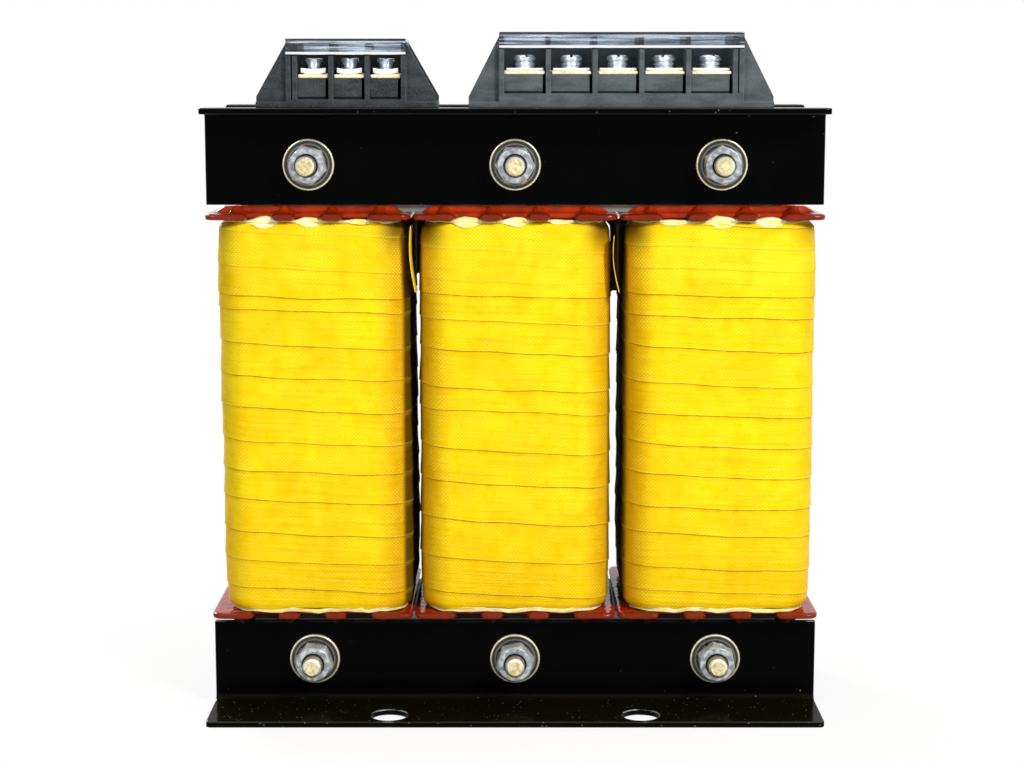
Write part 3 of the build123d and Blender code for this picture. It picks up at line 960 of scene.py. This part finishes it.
def coil_ring(bm, middle):
    """A closed ring with rounded corners, and how far round it each point lies."""
    bmesh.ops.create_grid(bm, x_segments=1, y_segments=1, size=0.5)
    corners = bm.verts[:]
    bmesh.ops.scale(bm, vec=(coil_width, coil_depth, 1), verts=corners)
    bevel(bm, corners, coil_corner, corner_steps, "VERTICES")
    bmesh.ops.delete(bm, geom=bm.faces[:], context="FACES_ONLY")
    long_sides = [e for e in bm.edges if e.calc_length() > coil_corner]
    bmesh.ops.subdivide_edges(bm, edges=long_sides, cuts=side_cuts)
    back = max(bm.verts, key=lambda v: (v.co.y > 0, -abs(v.co.x)))
    step = next(e for e in back.link_edges if e.other_vert(back).co.x < back.co.x)
    travel, here, distance = {}, back, 0.0
    for count in range(len(bm.verts)):
        travel[(round(here.co.x, 3), round(here.co.y, 3))] = distance
        distance += step.calc_length()
        here = step.other_vert(here)
        step = next(e for e in here.link_edges if e is not step)
    bmesh.ops.translate(bm, vec=(middle, 0, 0), verts=bm.verts)
    return travel, distance


def pulled_down(bm, rows):
    """Copies a ring straight down, one millimetre a row, with faces between."""
    bmesh.ops.spin(
        bm,
        geom=bm.verts[:] + bm.edges[:],
        cent=(0, 0, 0),
        axis=(0, 0, 1),
        dvec=(0, 0, -1),
        angle=0,
        steps=rows,
    )


# %% One taped coil
ledge_height = 0.5
trim = 0.1


def taped_coil(side, middle):
    low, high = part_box(f"coil_{side}")
    bottom, top = low.z / MM, high.z / MM
    heights = turn_heights[side]
    chance = random.Random(side)
    rows = (len(heights) + 4) * len(row_shares)
    stands = [ledge_height * chance.uniform(0.7, 1.3) for turn in range(rows)]
    for turn, height in faint_turns[side].items():
        stands[turn + 2] = height
    lines = list(stands)
    for turn in faint_turns[side]:
        lines[turn + 2] = faint_line
    bm = bmesh.new()
    travel, round_trip = coil_ring(bm, middle)
    pulled_down(bm, rows)
    seam = [
        e
        for e in bm.edges
        if all(v.co.y > coil_depth / 2 - 0.01 and abs(v.co.x - middle) < 0.01 for v in e.verts)
    ]
    bmesh.ops.split_edges(bm, edges=seam)
    weave = bm.loops.layers.uv.new("along_tape")
    margins = bm.loops.layers.uv.new("from_edges")
    facts = {}
    for v in bm.verts:
        x, y = v.co.x - middle, v.co.y
        way = travel[(round(x, 3), round(y, 3))]
        if way == 0.0 and min(f.calc_center_median().x for f in v.link_faces) > middle:
            way = round_trip
        row = round(-v.co.z)
        turn, share = row // len(row_shares), row_shares[row % len(row_shares)]
        upper = level_at(heights, turn + way / round_trip)
        lower = level_at(heights, turn + 1 + way / round_trip)
        facts[v] = (way, turn, share, upper, lower)
    for face in bm.faces:
        first = min((facts[v] for v in face.verts), key=lambda fact: fact[1])
        tall = first[3] - first[4]
        for loop in face.loops:
            way, turn, share, upper, lower = facts[loop.vert]
            if turn > first[1]:
                share = 1.0
            loop[weave].uv = (way * MM, share * tall * MM)
            loop[margins].uv = ((1.0 - share) * tall * MM, lines[first[1]])
    for v, (way, turn, share, upper, lower) in facts.items():
        x, y = v.co.x - middle, v.co.y
        z = upper + (lower - upper) * share
        z += 0.8 * noise.noise(Vector((v.co.x, y, z)) / 23.0)
        next_share = way / round_trip
        ledge = stands[turn] * (1 - next_share) + stands[turn + 1] * next_share
        fine = 0.14 * noise.noise(Vector((v.co.x, y, z)) / 5.0)
        swell = swelling(x, y, z, bottom, top) + ledge * (share**1.6) - 0.2 + fine
        v.co.z = z
        v.co.x += lean(side, z)
        v.co += outward(x, y) * swell
    bmesh.ops.remove_doubles(bm, verts=bm.verts, dist=0.01)
    for level, up in ((top, 1), (bottom, -1)):
        bisect(bm, (0, 0, level - trim * up), (0, 0, up))
        open_edges = [e for e in bm.edges if e.is_boundary]
        rim = [e for e in open_edges if (e.verts[0].co.z - level) * up > -2 * trim]
        bmesh.ops.contextual_create(bm, geom=rim)
    bmesh.ops.scale(bm, vec=(MM, MM, MM), verts=bm.verts)
    settle(bm, sharp=50)
    piece(f"taped_coil_{side}", bm, yellow_tape, "winding_tape", f"coil_{side}")


for side, middle in phases.items():
    taped_coil(side, middle)

# %% [markdown]
# ## Paper under the end frames
#
# A collar of stiff cream paper lies between each coil and its end frames. The taper
# folds its edge over the first turn, so it shows as a wavy cream line, and where the
# end frame has a gap between two tabs the paper springs up into the gap. It is made from
# the same ring as the coil: a few rows, each put at its own distance out and its own
# height, follow the coil's rounded end.

# %% Folded paper collars
tab_places = (-34.5, -11.5, 11.5, 34.5)
gap_places = (-23.0, 0.0, 23.0)
gap_half = 7.2

# Rows of the paper: how far out of the coil's side, how high over its end, how springy.
top_fold = (
    (-11.0, 0.3, 0.0),
    (-8.0, 0.5, 1.2),
    (-5.2, 0.6, 2.4),
    (-3.0, 0.5, 2.7),
    (-1.4, 0.2, 2.2),
    (-0.3, -0.8, 1.4),
    (0.1, -1.5, 0.8),
    (0.3, -2.3, 0.4),
    (0.35, -3.0, 0.2),
)
bottom_fold = (
    (-9.0, 0.2, 0.0),
    (-4.0, 0.2, 0.2),
    (-1.8, 0.2, 0.4),
    (-0.5, 0.0, 0.7),
    (0.0, -0.5, 0.7),
    (0.1, -1.1, 0.3),
)


def folded_paper(side, middle, end, fold):
    low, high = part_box(f"coil_{side}")
    bottom, top = low.z / MM, high.z / MM
    bm = bmesh.new()
    coil_ring(bm, middle)
    pulled_down(bm, len(fold) - 1)
    for v in bm.verts:
        x, y = v.co.x - middle, v.co.y
        out, over, spring = fold[round(-v.co.z)]
        facing = outward(x, y)
        beside = min(abs(x - place) for place in gap_places)
        gap = math.cos(min(beside / gap_half, 1.0) * math.pi / 2)
        gap *= facing.y**2
        ripple = noise.noise(Vector((v.co.x, y, end * 40.0)) / 6.0)
        fray = noise.noise(Vector((v.co.x, y, end * 90.0)) / 2.2)
        away = (v.co.z + len(fold) - 1) / (len(fold) - 1)
        height = over + spring * gap * (1.0 + 0.35 * ripple)
        if end > 0:
            luck = 0.75 + 0.9 * noise.noise(Vector((v.co.x, 7.0, end)) / 19.0)
            height = 0.2 + (height - 0.2) * luck * 0.72
        if over < 0 and end > 0:
            height = over * (0.1 + 0.9 * luck * gap * (1.0 + 0.8 * ripple))
        height += (1 - away) ** 2 * (1.2 * ripple + 0.4 * fray) + 0.25 * ripple * gap
        if end < 0:
            out -= 1.8 * (1.0 - facing.y**2) + 0.9 * (x / 40.0) ** 2 + 0.5 * fray
        z = top + height if end > 0 else bottom - height
        inside = min(max(z, bottom + 0.5), top - 0.5)
        level = inside if over < 0 else (top - 2.0 if end > 0 else bottom + 2.0)
        swell = swelling(x, y, level, bottom, top) if over < 0 else 0.0
        v.co.z = z
        v.co.x += lean(side, z)
        v.co += facing * (out + max(swell, out - 6.0) + 0.3 * ripple)
    bmesh.ops.scale(bm, vec=(MM, MM, MM), verts=bm.verts)
    settle(bm)
    row = "top" if end > 0 else "bottom"
    name = f"folded_paper_{row}_{side}"
    thicken(piece(name, bm, paper, "insulation_paper", "end_papers"), 0.3)


for side, middle in phases.items():
    folded_paper(side, middle, 1, top_fold)
    folded_paper(side, middle, -1, bottom_fold)

# %% [markdown]
# ## Tape ends, and dark sheets that stand in for shade in the gaps
#
# The taper leaves the tape's last end loose between two coils, where it hangs edge on
# to the viewer and shows as a thin bright line. Behind it a dark sheet, bent to a U that
# springs against both coils, stands in for the shade in the gap. Each is one open
# sheet: a grid of points, where one direction goes across the strip and the other down it.

# %% Hanging strips
tail_width = 12.0
shade_strip_width = 16.0


def hanging_strip(name, side, across, down, place, width, length, finish, slot):
    """A sheet through place(u, v), with u across it and v down it, both from 0 to 1."""
    bm = bmesh.new()
    bmesh.ops.create_grid(bm, x_segments=across, y_segments=down, size=0.5)
    for v in bm.verts:
        v.co = Vector(place(v.co.x + 0.5, 0.5 - v.co.y)) * MM
    settle(bm)
    strip = piece(f"{name}_{side}", bm, finish, slot)
    thicken(strip, 0.35)


def tape_tail(side, top, drop, start, sway):
    """A loose end that starts at x = start and drifts to the side as it hangs."""

    def place(u, v):
        x = start + sway * v**1.6 - math.sin(math.pi * v) + 0.5 * (u - 0.5)
        return (x, -50.0 + tail_width * u, top - drop * v)

    length = math.hypot(drop, sway) * 1.01
    flat = (tail_width, length)
    hanging_strip("tape_tail", side, 4, 16, place, *flat, tape_ends, "winding_tape")


# This dark sheet stands in for the shade in the gap.
def gap_shade_strip(side, middle, half_gap, top, short, long):
    """A strip bent to a U in the gap, with a lower edge that hangs deeper on one side."""

    def place(u, v):
        turn = math.pi * u
        drop = short + (long - short) * u + 1.2 * noise.noise(Vector((u * 9.0, middle, 0)))
        reach = half_gap + 3.4 * max(1.0 - v * drop / 5.0, 0.0) ** 2
        x = middle - reach * math.cos(turn)
        return (x, -27.0 - 6.2 * math.sin(turn), top - drop * v)

    length = (short + long) / 2
    flat = (shade_strip_width, length)
    hanging_strip("gap_shade_strip", side, 12, 10, place, *flat, gap_shade_finish, "former_board")


tape_tail("left", 241.0, 32.0, -50.2, 2.2)
tape_tail("centre", 236.0, 27.0, 47.9, 2.6)
gap_shade_strip("left", -48.4, 2.6, 243.5, 33.0, 23.0)
gap_shade_strip("centre", 50.1, 3.2, 243.5, 36.0, 34.0)

# %% [markdown]
# ## Moulded end frames
#
# A moulded and varnished part has no hard edges: every corner is rounded and every
# inside corner is filled. Bevelling each edge by hand would be slow and would still miss
# the fillets. Instead the CAD solid gets its flared gussets as loose cones and a flat
# bead on each tab, a voxel remesh melts them into one skin, and smoothing rounds the
# outside corners and fills the inside ones at once. One frame is made, then moved or
# turned to its six places.

# %% One soft moulding from the CAD solid and eight flared gussets
frame_voxel = 0.8
smoothing_rounds = 7
gusset_section = (
    (0, -1.2), (4.9, -1.2), (4.7, 0.1), (3.6, 0.6), (2.7, 1.3), (2.1, 2.5), (1.5, 3.8), (0, 4.3),
)
gusset_middle = 44.4
tab_section = ((0, -2.1), (3.6, -1.9), (5.6, -1.2), (6.3, 0.0), (5.6, 1.2), (3.6, 1.9), (0, 2.1))
tab_tip = 49.2
gusset_lean = 0.2


def squashed(bm, section, place, depth, slope):
    """A turned body, thinner or deeper from front to back, and leaning by a slope."""
    body = turned(bm, section, place, 24)
    bmesh.ops.translate(bm, vec=[-c * MM for c in place], verts=body)
    bmesh.ops.scale(bm, vec=(1, depth, 1), verts=body)
    for v in body:
        v.co.y -= slope * max(v.co.z, 0.0)
    bmesh.ops.translate(bm, vec=[c * MM for c in place], verts=body)


def moulded_frame():
    """The skin of the top centre end frame, in metres."""
    bm = copied("top_end_frame_centre")
    low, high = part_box("top_end_frame_centre")
    base = low.z / MM
    for end in (-1, 1):
        for x in tab_places:
            foot = (x, end * gusset_middle, base + 3.0)
            squashed(bm, gusset_section, foot, 1.3, end * gusset_lean)
            squashed(bm, tab_section, (x, end * tab_tip, base + 1.5), 0.5, 0.0)
    rough = placed("rough_frame", bm)
    melt = rough.modifiers.new("melt", "REMESH")
    melt.mode = "VOXEL"
    melt.voxel_size = frame_voxel * MM
    melted = rough.evaluated_get(bpy.context.evaluated_depsgraph_get())
    soft = bmesh.new()
    soft.from_mesh(melted.to_mesh())
    bpy.data.objects.remove(rough)
    axes = {"use_axis_x": True, "use_axis_y": True, "use_axis_z": True}
    for turn in range(smoothing_rounds):
        bmesh.ops.smooth_vert(soft, verts=soft.verts, factor=0.5, **axes)
    settle(soft)
    return soft, low.z, high.z


soft_frame, frame_low, frame_high = moulded_frame()
print("end frame skin:", len(soft_frame.faces), "faces")

# %% The six end frames
for row in ("top", "bottom"):
    for side, middle in phases.items():
        bm = soft_frame.copy()
        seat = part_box(f"{row}_end_frame_{side}")[0].z
        bmesh.ops.translate(bm, vec=(middle * MM, 0, -frame_low), verts=bm.verts)
        if row == "bottom":
            over = Matrix.Diagonal((1, 1, -1, 1))
            bmesh.ops.transform(bm, matrix=over, verts=bm.verts)
            bmesh.ops.translate(bm, vec=(0, 0, frame_high - frame_low), verts=bm.verts)
            bmesh.ops.reverse_faces(bm, faces=bm.faces)
        bmesh.ops.translate(bm, vec=(0, 0, seat), verts=bm.verts)
        node = f"{row}_end_frame_{side}"
        piece(f"moulded_{node}", bm, red_resin, "bobbin_resin", node)
soft_frame.free()

# %% [markdown]
# ## Clamps, washers and terminal mouldings
#
# Sheet metal and plastic parts keep the CAD shape, but nothing real has a knife edge. A
# narrow rounded edge is what catches the light and makes a part read as solid, so each
# gets a copy with its edges broken: wide on the painted sheet, narrow on the plastic.
# The clamps' rounded edges also have the edge paint.

# %% Softened copies
for row in ("top", "bottom"):
    for end in ("front", "back"):
        node = f"clamp_{row}_{end}"
        softened(f"painted_{node}", node, 0.45, black_paint, "clamp_paint", 3, edge_paint)
for block in ("three_way", "five_way"):
    softened(f"moulded_{block}_base", f"{block}_base", 0.3, mouldings[block], "terminal_moulding")
    softened(f"clear_{block}_cover", f"{block}_cover", 0.35, cover_sheets[block], "clear_cover", 3)
    softened(f"plated_{block}_strips", f"{block}_plates", 0.45, plate_brass, "terminal_brass", 3)
softened("rolled_flat_washers", "flat_washers", 0.55, dark_washers, "fastener_zinc", 4)

# %% [markdown]
# ## Nuts, bolts and spring washers
#
# Nuts are tightened by hand, so no two stand at the same angle, and a row of nuts all
# turned alike looks drawn. Each nut and each split washer is turned by its own angle.
# The bolt ends carry a real thread: a chain with one tooth per pitch is spun once round
# while it climbs one pitch, so its end meets its start one tooth further on.

# %% Turned nuts and split washers
bolt_axes = [(x, z) for z in bolt_rows for x in phases.values()]
nut_angles = (9.0, -12.0, 22.0, 14.0, 2.0, 25.0)
split_angles = (-40.0, -55.0, -30.0, -70.0, -20.0, -48.0)
nut_reach = 15.0


def from_axis(v, x, z):
    """How far a point of a mesh lies from a bolt's axis, in millimetres."""
    return math.hypot(v.co.x / MM - x, v.co.z / MM - z)


def turn_each(bm, angles):
    for (x, z), angle in zip(bolt_axes, angles):
        own = [v for v in bm.verts if from_axis(v, x, z) < nut_reach]
        spin = Matrix.Rotation(math.radians(angle), 3, "Y")
        bmesh.ops.rotate(bm, cent=(x * MM, 0, z * MM), matrix=spin, verts=own)


for name, node, radius, angles, finish in (
    ("turned_nuts", "clamp_nuts", 0.3, nut_angles, nut_plate),
    ("split_washers", "spring_washers", 0.4, split_angles, dull_zinc),
):
    bm = copied(node)
    turn_each(bm, angles)
    break_edges(bm, radius, 3)
    piece(name, bm, finish, "fastener_zinc", node)

# %% Threaded bolts
thread_pitch = 1.5
thread_depth = 0.8
thread_start = 44.0
bolt_tip = 58.0
bolt_tip_round = 1.5
bolt_radius = 5.0
rim_reach = 8.0
thread_steps = 32
thread_weld = 0.02


def thread(bm, x, z):
    """A threaded end that sticks out of the front of a nut."""
    reach = bolt_tip - thread_start
    teeth = round(reach / thread_pitch) + 3
    verts = []
    for step in range(2 * teeth + 1):
        radius = bolt_radius - (thread_depth if step % 2 else 0.0)
        out = thread_start - 1.5 * thread_pitch + step * thread_pitch / 2
        verts.append(bm.verts.new(Vector((x + radius, -out, z)) * MM))
    chain = [bm.edges.new(pair) for pair in zip(verts, verts[1:])]
    before = set(bm.verts) - set(verts)
    bmesh.ops.spin(
        bm,
        geom=verts + chain,
        cent=Vector((x, 0, z)) * MM,
        axis=(0, -1, 0),
        dvec=Vector((0, -thread_pitch / thread_steps, 0)) * MM,
        angle=math.tau,
        steps=thread_steps,
    )
    new = [v for v in bm.verts if v not in before]
    bmesh.ops.remove_doubles(bm, verts=new, dist=thread_weld * MM)
    new = [v for v in new if v.is_valid]
    for v in new:
        flat = Vector((v.co.x - x * MM, 0, v.co.z - z * MM))
        most = bolt_radius - max(-v.co.y / MM - (bolt_tip - bolt_tip_round), 0.0)
        if flat.length > most * MM:
            flat = flat.normalized() * most * MM
            v.co.x, v.co.z = x * MM + flat.x, z * MM + flat.z
    for level, way in ((bolt_tip, -1), (thread_start, 1)):
        bisect(bm, (0, -level * MM, 0), (0, way, 0), with_links(new))
        new = [v for v in bm.verts if v not in before]
        rim = [
            e
            for e in bm.edges
            if e.is_boundary
            and all(abs(v.co.y + level * MM) < 1e-6 for v in e.verts)
            and from_axis(e.verts[0], x, z) < rim_reach
        ]
        bmesh.ops.contextual_create(bm, geom=rim)


for row, level in zip(("bottom", "top"), bolt_rows):
    node = f"clamp_bolts_{row}"
    bm = cut_flat(node, (0, -(thread_start + 0.5) * MM, 0), (0, -1, 0))
    break_edges(bm, 0.4, 2)
    for x in phases.values():
        thread(bm, x, level)
    bmesh.ops.recalc_face_normals(bm, faces=bm.faces)
    piece(f"threaded_bolts_{row}", bm, yellow_zinc, "bolt_zinc", node)

# %% [markdown]
# ## Terminal screws
#
# The screw heads are tiny but very bright, and their rings and crossed slots are what
# the eye finds first on the blocks. Each head is turned from a half section with rings,
# then cut along the sides of its two slots, and the faces between the cuts are pushed
# down.

# %% Screws with crossed slots
def slotted(bm, verts, x, y, top, width, depth, angle):
    """Pushes two crossed slots into the top of a head."""
    turns = (math.radians(angle), math.radians(angle + 90.0))
    slots = [Vector((math.cos(turn), math.sin(turn), 0)) for turn in turns]
    for across in slots:
        for side in (-1, 1):
            edge = Vector((x, y, 0)) * MM + across * side * width / 2 * MM
            verts = verts + bisect(bm, edge, across, with_links(verts), clear=False)
    faces = []
    for face in {f for v in verts for f in v.link_faces}:
        spot = face.calc_center_median() / MM - Vector((x, y, 0))
        if spot.z < top - depth or face.normal.z < 0.3:
            continue
        if any(abs(spot.dot(across)) < width / 2 for across in slots):
            faces.append(face)
    made = bmesh.ops.extrude_face_region(bm, geom=faces)
    floor = [v for v in made["geom"] if isinstance(v, bmesh.types.BMVert)]
    bmesh.ops.delete(bm, geom=faces, context="FACES_ONLY")
    for v in floor:
        v.co.z = (top - depth) * MM


# Half sections of the heads: distance from the axis and height, in head radii and heights.
pan_section = (
    (0.0, 1.0), (0.5, 0.99), (0.8, 0.93), (0.97, 0.80), (1.0, 0.66), (0.95, 0.56),
    (0.80, 0.50), (0.80, 0.44), (0.90, 0.40), (0.92, 0.30), (0.88, 0.24), (0.78, 0.2),
    (0.78, 0.14), (0.86, 0.10), (0.84, 0.0), (0.45, 0.0), (0.45, -0.9), (0.0, -0.9),
)
flared_section = (
    (0.0, 0.93), (0.45, 0.95), (0.85, 1.0), (1.0, 0.93), (0.98, 0.80), (0.88, 0.55),
    (0.78, 0.34), (0.72, 0.18), (0.74, 0.0), (0.58, 0.0), (0.58, -1.0), (0.0, -1.0),
)


def terminal_screws(block, poles, radius, height, section, slot, depth):
    low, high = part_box(f"{block}_screws")
    head = high.z / MM - height
    first_x, last_x = low.x / MM + radius, high.x / MM - radius
    chance = random.Random(block)
    bm = bmesh.new()
    for y in (low.y / MM + radius, high.y / MM - radius):
        for pole in range(poles):
            x = first_x + (last_x - first_x) * pole / (poles - 1)
            chain = [(r * radius, h * height) for r, h in section]
            verts = turned(bm, chain, (x, y, head), 28)
            bmesh.ops.recalc_face_normals(bm, faces=bm.faces)
            angle = chance.uniform(-18, 18)
            slotted(bm, verts, x, y, head + height, slot, depth, angle)
    settle(bm, sharp=40)
    piece(f"slotted_{block}_screws", bm, screw_zinc, "terminal_zinc", f"{block}_screws")


terminal_screws("three_way", 3, 4.1, 5.2, flared_section, 1.2, 1.5)
terminal_screws("five_way", 5, 5.5, 6.4, pan_section, 1.4, 1.6)

# %% Square washers with upturned edges
flat_share = 0.45

# Block, poles, width in the CAD, lift of the sides, and how much wider they are made.
for block, poles, width, lift, spread in (
    ("three_way", 3, 12.3, 0.7, 1.0),
    ("five_way", 5, 15.0, 0.15, 1.2),
):
    bm = copied(f"{block}_washers")
    long = [e for e in bm.edges if e.calc_length() > 8 * MM]
    bmesh.ops.subdivide_edges(bm, edges=long, cuts=7)
    break_edges(bm, 0.35, 3)
    low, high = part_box(f"{block}_washers")
    half = width / 2 * MM
    pitch = (high.x - low.x - 2 * half) / (poles - 1)
    for v in bm.verts:
        pole = round((v.co.x - low.x - half) / pitch)
        across = abs(v.co.x - low.x - half - pole * pitch) / half
        v.co.z += lift * MM * max(across - flat_share, 0.0) / (1 - flat_share)
        centre = low.x + half + pole * pitch
        v.co.x = centre + (v.co.x - centre) * spread
    mark_edges(bm)
    piece(f"square_{block}_washers", bm, pale_zinc, "terminal_zinc", f"{block}_washers")

# %% Screws that hold the blocks, cut flush under the flange
flange_underside = 294.4

bm = cut_flat("terminal_fixing_screws", (0, 0, flange_underside * MM), (0, 0, -1))
break_edges(bm, 0.6, 4)
piece("fixing_screws", bm, bright_zinc, "fastener_zinc", "terminal_fixing_screws")


# %% Finishes on the CAD nodes that stay as they are
def repaint(finish, *nodes):
    """Gives CAD nodes that keep their own mesh a finish."""
    for node in nodes:
        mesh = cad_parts[node].data
        mesh.materials.clear()
        mesh.materials.append(finish.material)


repaint(core_steel, "core_top_yoke", "core_bottom_yoke")
repaint(core_steel, *[f"core_leg_{side}" for side in phases])
repaint(board, *[f"winding_former_{side}" for side in phases])
print("CAD nodes repainted")
